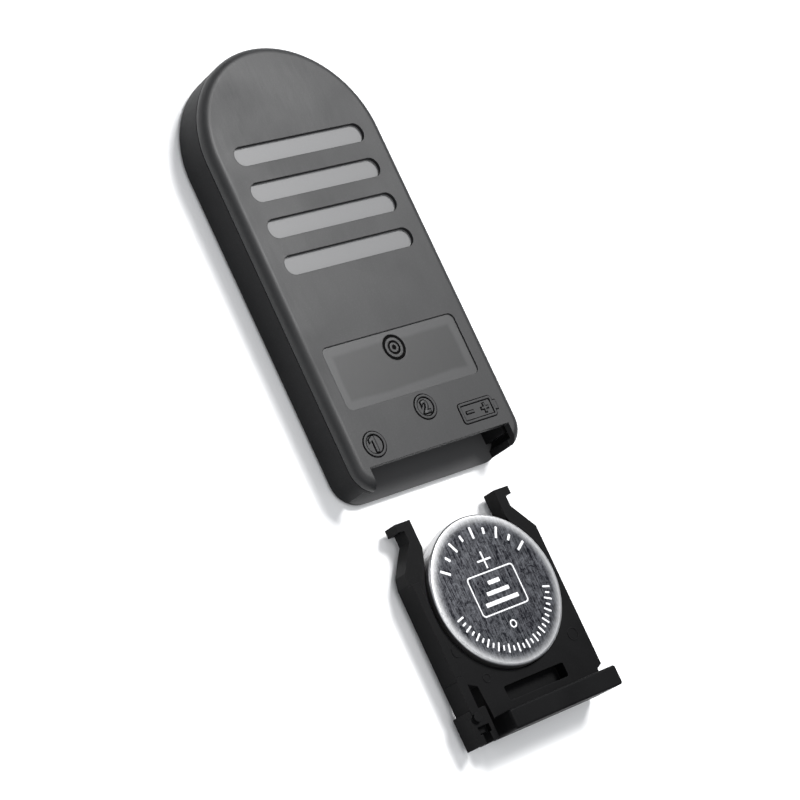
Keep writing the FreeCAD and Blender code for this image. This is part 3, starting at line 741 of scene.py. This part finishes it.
bayPlastic = dict(casePlastic, recess=dict(
    backPlastic["recess"], bottom=0.0, rough=0.5, borderSheenGain=1.0,
    floors=((0.0, *noFloor), (0.05, (0.07, 0.07, 0.071), 1.0), (0.6, *noFloor))))  # bay floor paler than the case: painted light on the mouth's floor
trayPlastic = {
    "label": "satin black plastic", "grainScale": 6500.0, "grainDepth": 0.008 * mm,
    "grainStrength": 0.35, "dragStretch": 0.15, "edgeRadius": 0.09 * mm,
    "dark": (0.002, 0.002, 0.0022), "light": (0.004, 0.004, 0.0043), "tip": (0.008, 0.008, 0.0083),
    "edge": (0.02, 0.02, 0.021), "smooth": 0.36, "rough": 0.5, "shine": 0.06,
}
buttonPlastic = dict(trayPlastic, label="button plastic", smooth=0.28, rough=0.4)
chipEpoxy = dict(casePlastic, label="moulding epoxy", grainScale=9000.0, smooth=0.55, rough=0.7)
sealNylon = dict(
    casePlastic, label="seal nylon", dark=(0.45, 0.44, 0.40), light=(0.62, 0.61, 0.56),
    tip=(0.75, 0.74, 0.70), edge=(0.8, 0.8, 0.76), smooth=0.4, rough=0.55)
cellSteel = {
    "label": "nickel-plated steel", "centre": tuple(cellMiddle), "metallic": 1.0, "brushTurn": 28,
    "brushScale": 5200.0, "mottleScale": 1500.0, "ringScale": 260.0, "ringStrength": 0.12,
    # the rim colour is partly polish, partly a painted highlight
    "dark": (0.012, 0.013, 0.018), "light": (0.40, 0.405, 0.43), "rim": (0.62, 0.62, 0.62),
    "darkAt": 0.47, "lightAt": 0.64, "rimFrom": 8.3 * mm, "rimTo": 10.0 * mm, "rimShare": 0.75,
    "rimRough": 0.42, "rough": 0.30, "smooth": 0.17, "relief": 0.008 * mm, "reliefStrength": 0.5,
    "edgeRadius": 0.12 * mm,
}
etchedSteel = dict(
    cellSteel, label="etched mark", metallic=0.25, dark=(0.62, 0.62, 0.63), light=(0.86, 0.86, 0.87),
    rough=0.62, smooth=0.5)
# a rim that starts a metre out is no rim at all
plainMetal = dict(cellSteel, rimFrom=1, rimTo=2)
springMetal = dict(
    plainMetal, label="spring strip", centre=(0, 0, 2 * mm), brushTurn=90, dark=(0.45, 0.42, 0.36),
    light=(0.75, 0.72, 0.64))
tinnedLead = dict(
    plainMetal, label="tinned wire", centre=(0, 20 * mm, 3 * mm), dark=(0.5, 0.5, 0.5),
    light=(0.78, 0.78, 0.77))
canMetal = dict(
    plainMetal, label="drawn can", centre=(4.6 * mm, 12 * mm, 4.2 * mm), dark=(0.55, 0.55, 0.56),
    light=(0.8, 0.8, 0.8))
domeSteel = dict(
    cellSteel, label="snap dome", centre=(0, 10.5 * mm, 2 * mm), dark=(0.4, 0.4, 0.41),
    light=(0.75, 0.75, 0.76), rimFrom=1.6 * mm, rimTo=2.3 * mm)
dullLithium = dict(
    plainMetal, label="lithium foil", dark=(0.3, 0.3, 0.31), light=(0.55, 0.55, 0.56), rough=0.6, smooth=0.45)
ceramic = {
    "label": "fired ceramic", "grainScale": 9000.0, "driftScale": 1500.0, "dark": (0.42, 0.30, 0.19),
    "light": (0.58, 0.44, 0.30), "smooth": 0.4, "rough": 0.6, "relief": 0.01 * mm, "reliefStrength": 0.4,
    "shine": 0.5,
}

finishes = {
    "front_case": mouldedPlastic("case_front", bayPlastic),
    "back_cover": mouldedPlastic("case_back", backPlastic),
    "ir_window": tintedResin("window_smoked", {
        "label": "smoked window", "dark": (0.012, 0.004, 0.008), "light": (0.035, 0.012, 0.02), "clear": 0.55,
        "smooth": 0.06, "rough": 0.14}),
    "ir_led": tintedResin("led_resin", {
        "label": "emitter resin", "dark": (0.45, 0.5, 0.62), "light": (0.62, 0.68, 0.78), "clear": 0.85,
        "smooth": 0.05, "rough": 0.12}),
    "circuit_board": boardLaminate("board_laminate", {
        "mask": (0.012, 0.10, 0.045), "maskDeep": (0.008, 0.06, 0.03), "copper": (0.05, 0.20, 0.09)}),
    "led_leads": workedMetal("lead_tinned", tinnedLead),
    "control_chip": mouldedPlastic("chip_epoxy", chipEpoxy),
    "resonator": workedMetal("resonator_can", canMetal),
    "chip_capacitors": pressedGrain("capacitor_ceramic", ceramic),
    "chip_resistors": pressedGrain("resistor_ceramic", dict(
        ceramic, dark=(0.01, 0.01, 0.012), light=(0.03, 0.03, 0.034))),
    "snap_dome": workedMetal("dome_steel", domeSteel),
    "shutter_button": mouldedPlastic("button_plastic", buttonPlastic),
    "battery_tray": mouldedPlastic("tray_plastic", trayPlastic),
    "positive_contact": workedMetal("spring_metal", springMetal),
    "cell_can": workedMetal("cell_steel", cellSteel),
    "cell_gasket": mouldedPlastic("seal_nylon", sealNylon),
    "lithium_disc": workedMetal("lithium_foil", dullLithium),
    "separator": pressedGrain("separator_fibre", dict(
        ceramic, label="fibre sheet", dark=(0.68, 0.67, 0.63), light=(0.82, 0.81, 0.77), rough=0.85)),
    "cathode_pellet": pressedGrain("cathode_powder", dict(
        ceramic, label="pressed powder", dark=(0.012, 0.011, 0.011), light=(0.03, 0.029, 0.028), rough=0.9)),
}
for twin, first in {"transistor": "control_chip", "release_latch": "battery_tray",
                    "negative_contact": "positive_contact", "cell_cap": "cell_can"}.items():
    finishes[twin] = finishes[first]

for name, node in nodes.items():
    for slot in node.material_slots:
        slot.material = finishes[name]
markPlastic = mouldedPlastic("mark_plastic", dict(backPlastic, label="raised marks", recess=None))
# painted shade: a near-black, rough sheet laid round the raised marks and in the gate mark's rings
paintedGrooveShade = mouldedPlastic("mark_groove_shade", dict(
    casePlastic, label="shaded groove", dark=(0.002, 0.002, 0.002), light=(0.003, 0.003, 0.003),
    tip=(0.004, 0.004, 0.004), edge=(0.005, 0.005, 0.005), smooth=0.8, rough=0.9, shine=0.05))
etchFinish = workedMetal("etched_mark", etchedSteel)
print("materials on", len(nodes), "nodes")


# outlines in millimetres, from which the small raised marks are made
def circlePath(x, y, radius, steps=48):
    return [(x + radius * math.cos(2 * math.pi * n / steps), y + radius * math.sin(2 * math.pi * n / steps))
            for n in range(steps)]


def roundedPath(x, y, width, length, radius, steps=6):
    path = []
    for quarter, (side, end) in enumerate(((1, 1), (-1, 1), (-1, -1), (1, -1))):
        cx, cy = x + side * (width / 2 - radius), y + end * (length / 2 - radius)
        for n in range(steps + 1):
            turn = math.radians(90 * quarter + 90 * n / steps)
            path.append((cx + radius * math.cos(turn), cy + radius * math.sin(turn)))
    return path


def crossPath(x, y, arm, half):
    quarter = [(arm, -half), (arm, half), (half, half)]
    return [(x + px, y + py) for n in range(4) for px, py in turned(quarter, 90 * n, 0, 0)]


figureOne = {"right": 0.22, "left": -0.14, "half": 1.05, "top": -0.12, "tip": -0.66, "flag": (0.28, 0.66),
             "under": 0.55, "slant": 0.6}


# a figure one with a short flag, grown outwards for the painted shade round it
def onePath(x, y, grow):
    right, left, tip = figureOne["right"] + grow, figureOne["left"] - grow, figureOne["tip"] - grow
    half, (flagLow, flagHigh) = figureOne["half"] + grow, figureOne["flag"]
    path = [(left, -half), (right, -half), (right, half), (figureOne["top"], half),
            (tip, flagHigh + grow * figureOne["slant"]), (tip, flagLow - grow),
            (left, figureOne["under"] - grow)]
    return [(x + px, y + py) for px, py in path]


def turned(path, degrees, x, y):
    c, s = math.cos(math.radians(degrees)), math.sin(math.radians(degrees))
    return [(x + px * c - py * s, y + px * s + py * c) for px, py in path]


# a closed band between two outlines of equal count, or a full slab when there is no inner one
def addBand(mesh, outer, inner, low, high):
    def ring(path, z):
        return [mesh.verts.new((px * mm, py * mm, z * mm)) for px, py in path]

    outLow, outHigh = ring(outer, low), ring(outer, high)
    count = len(outer)
    if inner:
        inLow, inHigh = ring(inner, low), ring(inner, high)
    for n in range(count):
        m = (n + 1) % count
        mesh.faces.new((outLow[n], outLow[m], outHigh[m], outHigh[n]))
        if inner:
            mesh.faces.new((inLow[m], inLow[n], inHigh[n], inHigh[m]))
            mesh.faces.new((outHigh[n], outHigh[m], inHigh[m], inHigh[n]))
            mesh.faces.new((outLow[m], outLow[n], inLow[n], inLow[m]))
    if not inner:
        mesh.faces.new(outHigh)
        mesh.faces.new(list(reversed(outLow)))


sharpAngle = math.radians(40)
mergeWithin = 1e-7


def finishPiece(name, mesh, material, body):
    bmesh.ops.remove_doubles(mesh, verts=mesh.verts, dist=mergeWithin)
    bmesh.ops.recalc_face_normals(mesh, faces=mesh.faces)
    data = bpy.data.meshes.new(name)
    mesh.to_mesh(data)
    mesh.free()
    data.materials.append(material)
    data.shade_smooth()
    data.set_sharp_from_angle(angle=sharpAngle)
    piece = bpy.data.objects.new(name, data)
    scene.collection.objects.link(piece)
    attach(piece, body)


# a raised figure: the font's outline thickened, then kept as a mesh
def addFigure(mesh, text, x, y, height, spread, low, rise):
    curve = bpy.data.curves.new("figure", "FONT")
    curve.body = text
    curve.size = height * mm
    curve.align_x = "CENTER"
    curve.align_y = "CENTER"
    curve.offset = spread * mm
    curve.extrude = rise / 2 * mm
    curve.bevel_depth = min(0.02, rise / 4) * mm
    curve.bevel_resolution = 1
    figure = bpy.data.objects.new("figure", curve)
    scene.collection.objects.link(figure)
    bpy.context.view_layer.update()
    data = bpy.data.meshes.new_from_object(figure.evaluated_get(bpy.context.evaluated_depsgraph_get()))
    lows = [vertex.co for vertex in data.vertices]
    midX = (min(v.x for v in lows) + max(v.x for v in lows)) / 2
    midY = (min(v.y for v in lows) + max(v.y for v in lows)) / 2
    data.transform(Matrix.Translation((x * mm - midX, y * mm - midY, (low + rise / 2) * mm)))
    mesh.from_mesh(data)
    bpy.data.objects.remove(figure)
    bpy.data.curves.remove(curve)
    bpy.data.meshes.remove(data)


stepMarks = {
    "ring": 1.48, "stroke": 0.3, "groove": 0.16, "rise": 0.12, "sink": 0.05,
    "figureHeight": 2.3, "spread": 0.05, "places": {"1": (-9.7, -24.4), "2": (0.3, -21.8)},
}
grooveShadeLift = 0.012  # painted shade round a raised mark: a dark sheet hardly above the face


# one circled figure, or the dark sheet of painted shade round it: rings are pairs of radii, and grow widens
# the figure
def addStep(name, figure, rings, grow, rise, material):
    x, y = stepMarks["places"][figure]
    low, high = faceHeight - stepMarks["sink"], faceHeight + rise
    mesh = bmesh.new()
    for outer, inner in rings:
        addBand(mesh, circlePath(x, y, outer), circlePath(x, y, inner), low, high)
    if figure == "1":
        addBand(mesh, onePath(x, y, grow), None, low, high)
    else:
        addFigure(mesh, figure, x, y, stepMarks["figureHeight"], stepMarks["spread"] + grow, low, high - low)
    finishPiece(name + figure, mesh, material, "case")


def addStepMarks():
    half, groove = stepMarks["stroke"] / 2, stepMarks["groove"]
    outer, inner = stepMarks["ring"] + half, stepMarks["ring"] - half
    for figure in stepMarks["places"]:
        addStep("step_mark_", figure, [(outer, inner)], 0, stepMarks["rise"], markPlastic)
        addStep("step_groove_shade_", figure, [(edge + groove, edge - groove) for edge in (outer, inner)], groove,
                grooveShadeLift, paintedGrooveShade)


addStepMarks()

# painted shade: near-black floors laid in the gate mark's rings, from the shell's own sizes
gateMark = {"y": -13.3, "floor": 6.28, "rings": ((1.74, 1.36), (0.94, 0.68)), "core": 0.32, "coreSteps": 24,
            "sink": 0.02, "rise": 0.004}


def addGateMark():
    mesh = bmesh.new()
    y = gateMark["y"]
    low, high = gateMark["floor"] - gateMark["sink"], gateMark["floor"] + gateMark["rise"]
    for outer, inner in gateMark["rings"]:
        addBand(mesh, circlePath(0, y, outer), circlePath(0, y, inner), low, high)
    addBand(mesh, circlePath(0, y, gateMark["core"], gateMark["coreSteps"]), None, low, high)
    finishPiece("gate_shade", mesh, paintedGrooveShade, "case")


addGateMark()

batteryMark = {
    "x": 8.0, "y": -24.2, "width": 5.7, "length": 2.7, "stroke": 0.3, "round": 0.4, "innerRound": 0.1,
    "knob": (0.5, 1.2), "knobRound": 0.12, "sign": 1.2, "signWide": 0.26, "signRound": 0.08,
    "signs": (-1.3, 1.3), "groove": 0.13, "rise": 0.12, "sink": 0.05,
}


def addBatteryMark():
    spec = batteryMark
    x, y, low = spec["x"], spec["y"], faceHeight - spec["sink"]
    knobWide, knobLong = spec["knob"]
    knobX = x + spec["width"] / 2 + knobWide / 2
    minusX, plusX = x + spec["signs"][0], x + spec["signs"][1]
    # the second pass lays a dark sheet of painted shade round the raised symbol
    for name, grow, high, material in (
            ("battery_mark", 0, faceHeight + spec["rise"], markPlastic),
            ("battery_groove_shade", spec["groove"], faceHeight + grooveShadeLift, paintedGrooveShade)):
        mesh = bmesh.new()
        wide, long, stroke = spec["width"] + 2 * grow, spec["length"] + 2 * grow, spec["stroke"] + 2 * grow
        addBand(mesh, roundedPath(x, y, wide, long, spec["round"] + grow),
                roundedPath(x, y, wide - 2 * stroke, long - 2 * stroke, spec["innerRound"]), low, high)
        arm, half = spec["sign"] / 2 + grow, spec["signWide"] / 2 + grow
        for solid in (roundedPath(knobX, y, knobWide + 2 * grow, knobLong + 2 * grow, spec["knobRound"]),
                      crossPath(plusX, y, arm, half),
                      roundedPath(minusX, y, 2 * arm, 2 * half, spec["signRound"])):
            addBand(mesh, solid, None, low, high)
        finishPiece(name, mesh, material, "case")


addBatteryMark()

# a nib of flash under the mouth's edge, rooted in the cover
mouthNib = {"x": 0.6, "width": 0.5, "length": 0.34, "root": 0.2, "round": 0.12, "drop": 0.9, "thick": 0.25,
            "notch": 3.0}


def addMouthNib():
    spec = mouthNib
    mesh = bmesh.new()
    y = coverLow.y / mm + spec["notch"] - spec["length"] / 2 + spec["root"] / 2
    low = faceHeight - spec["drop"]
    outline = roundedPath(spec["x"], y, spec["width"], spec["length"] + spec["root"], spec["round"])
    addBand(mesh, outline, None, low, low + spec["thick"])
    finishPiece("mouth_nib", mesh, markPlastic, "case")


addMouthNib()

# etched marks on the coin, all plain strokes, laid out from its middle
coinMarks = {
    "rise": 0.02, "sink": 0.03, "stroke": 0.26,
    "frame": (8.0, 5.4, 0.55), "frameInner": 0.18, "frameY": -0.15,
    "bars": ((-1.5, 5.6), (-0.2, 3.8), (1.1, 2.0)), "barWide": 0.55, "barRound": 0.1,
    "plusY": 4.0, "plusArm": 1.15, "dotY": -4.7, "dotRings": (0.55, 0.35), "dotSteps": 32, "tickRound": 0.09,
    "wideArc": {"radius": 7.7, "from": 32, "to": 148, "count": 9, "long": 1.6, "short": 0.9, "wide": 0.36},
    "fineArc": {"radius": 7.7, "from": 194, "to": 346, "count": 27, "long": 1.2, "short": 0.7, "wide": 0.26},
}


def addCoinMarks():
    spec = coinMarks
    mesh = bmesh.new()
    cx, cy, face = cellMiddle.x / mm, cellMiddle.y / mm, cellHigh.z / mm
    low, high, stroke = face - spec["sink"], face + spec["rise"], spec["stroke"]
    width, length, corner = spec["frame"]
    y = cy + spec["frameY"]
    inner = roundedPath(cx, y, width - 1.5 * stroke, length - 1.5 * stroke, corner - spec["frameInner"])
    addBand(mesh, roundedPath(cx, y, width, length, corner), inner, low, high)
    dot = [circlePath(cx, cy + spec["dotY"], radius, spec["dotSteps"]) for radius in spec["dotRings"]]
    solids = [roundedPath(cx, cy + up, long, spec["barWide"], spec["barRound"]) for up, long in spec["bars"]]
    solids.append(crossPath(cx, cy + spec["plusY"], spec["plusArm"], stroke / 2))
    for solid in solids:
        addBand(mesh, solid, None, low, high)
    addBand(mesh, *dot, low, high)
    for arc in (spec["wideArc"], spec["fineArc"]):
        for n in range(arc["count"]):
            turn = arc["from"] + (arc["to"] - arc["from"]) * n / (arc["count"] - 1)
            x = cx + arc["radius"] * math.cos(math.radians(turn))
            y = cy + arc["radius"] * math.sin(math.radians(turn))
            reach = arc["short"] if n % 2 else arc["long"]
            tick = roundedPath(0, 0, reach, arc["wide"], spec["tickRound"], 3)
            addBand(mesh, turned(tick, turn, x, y), None, low, high)
    finishPiece("coin_marks", mesh, etchFinish, "cell")


addCoinMarks()

# pin marks left in the tray's plate by its mould, measured from under the coin
trayMarks = {
    "pins": ((-8.9, -5.2, 0.8), (9.4, -8.6, 0.8), (-6.4, -9.6, 0.55)), "steps": 36, "plate": 3.32,
    "stroke": 0.14, "rise": 0.06, "sink": 0.05,
}


def addTrayMarks():
    spec = trayMarks
    mesh = bmesh.new()
    low, high = spec["plate"] - spec["sink"], spec["plate"] + spec["rise"]
    for x, y, radius in spec["pins"]:
        rings = [circlePath(x, cellMiddle.y / mm + y, radius + side * spec["stroke"] / 2, spec["steps"])
                 for side in (1, -1)]
        addBand(mesh, *rings, low, high)
    finishPiece("tray_pin_marks", mesh, finishes["battery_tray"], "tray")


addTrayMarks()

buttonRing = {"radius": 3.4, "stroke": 0.3, "rise": 0.06, "sink": 0.05}


# built standing up, then turned over onto the downward face
def addButtonRing():
    spec = buttonRing
    mesh = bmesh.new()
    x, y = (buttonLow.x + buttonHigh.x) / 2 / mm, (buttonLow.y + buttonHigh.y) / 2 / mm
    face = -buttonLow.z / mm
    rings = [circlePath(x, y, spec["radius"] + side * spec["stroke"] / 2) for side in (1, -1)]
    addBand(mesh, *rings, face - spec["sink"], face + spec["rise"])
    for vertex in mesh.verts:
        vertex.co.z = -vertex.co.z
    finishPiece("button_ring", mesh, finishes["shutter_button"], "button")


addButtonRing()
print("marks and small pieces added")


floorLook = {
    "label": "paper sweep", "grainScale": 2500.0, "driftScale": 6.0, "dark": (0.86, 0.86, 0.865),
    "light": (0.92, 0.92, 0.92), "smooth": 0.75, "rough": 0.9, "relief": 0.02 * mm, "reliefStrength": 0.05,
    "shine": 0.1, "openBelow": True,
}
floorHalf = 3.0
floorDrop = 0.05 * mm  # keeps the sheet clear of the face that rests on it


def addFloor():
    mesh = bmesh.new()
    mesh.faces.new([mesh.verts.new((x * floorHalf, y * floorHalf, -floorDrop))
                    for x, y in ((-1, -1), (1, -1), (1, 1), (-1, 1))])
    data = bpy.data.meshes.new("floor")
    mesh.to_mesh(data)
    mesh.free()
    data.materials.append(pressedGrain("paper_floor", floorLook))
    floor = bpy.data.objects.new("floor", data)
    scene.collection.objects.link(floor)


addFloor()

studioLights = {
    "key": {"towards": (0.38, 0.36, 0.84), "distance": 0.6, "size": 0.2, "power": 5.2},
    "top": {"towards": (-0.35, -0.25, 0.9), "distance": 0.8, "size": 1.0, "power": 4.5},
    "side": {"towards": (-0.75, 0.62, 0.22), "distance": 0.6, "size": 0.16, "power": 0.2},
}
lightTarget = Vector((0, -16.5, 3.3)) * mm
surroundings = {"Color": (0.88, 0.93, 1.0, 1), "Strength": 0.3}


def addLights():
    for name, spec in studioLights.items():
        data = bpy.data.lights.new(name, "AREA")
        data.shape = "SQUARE"
        data.size = spec["size"]
        data.energy = spec["power"]
        light = bpy.data.objects.new(name, data)
        way = Vector(spec["towards"]).normalized()
        light.location = lightTarget + way * spec["distance"]
        light.rotation_euler = way.to_track_quat("Z", "Y").to_euler()
        scene.collection.objects.link(light)
    world = bpy.data.worlds.new("studio")
    world.use_nodes = True
    for name, value in surroundings.items():
        world.node_tree.nodes["Background"].inputs[name].default_value = value
    scene.world = world
    scene.view_settings.view_transform = "Standard"


addLights()
print("floor and lights set")
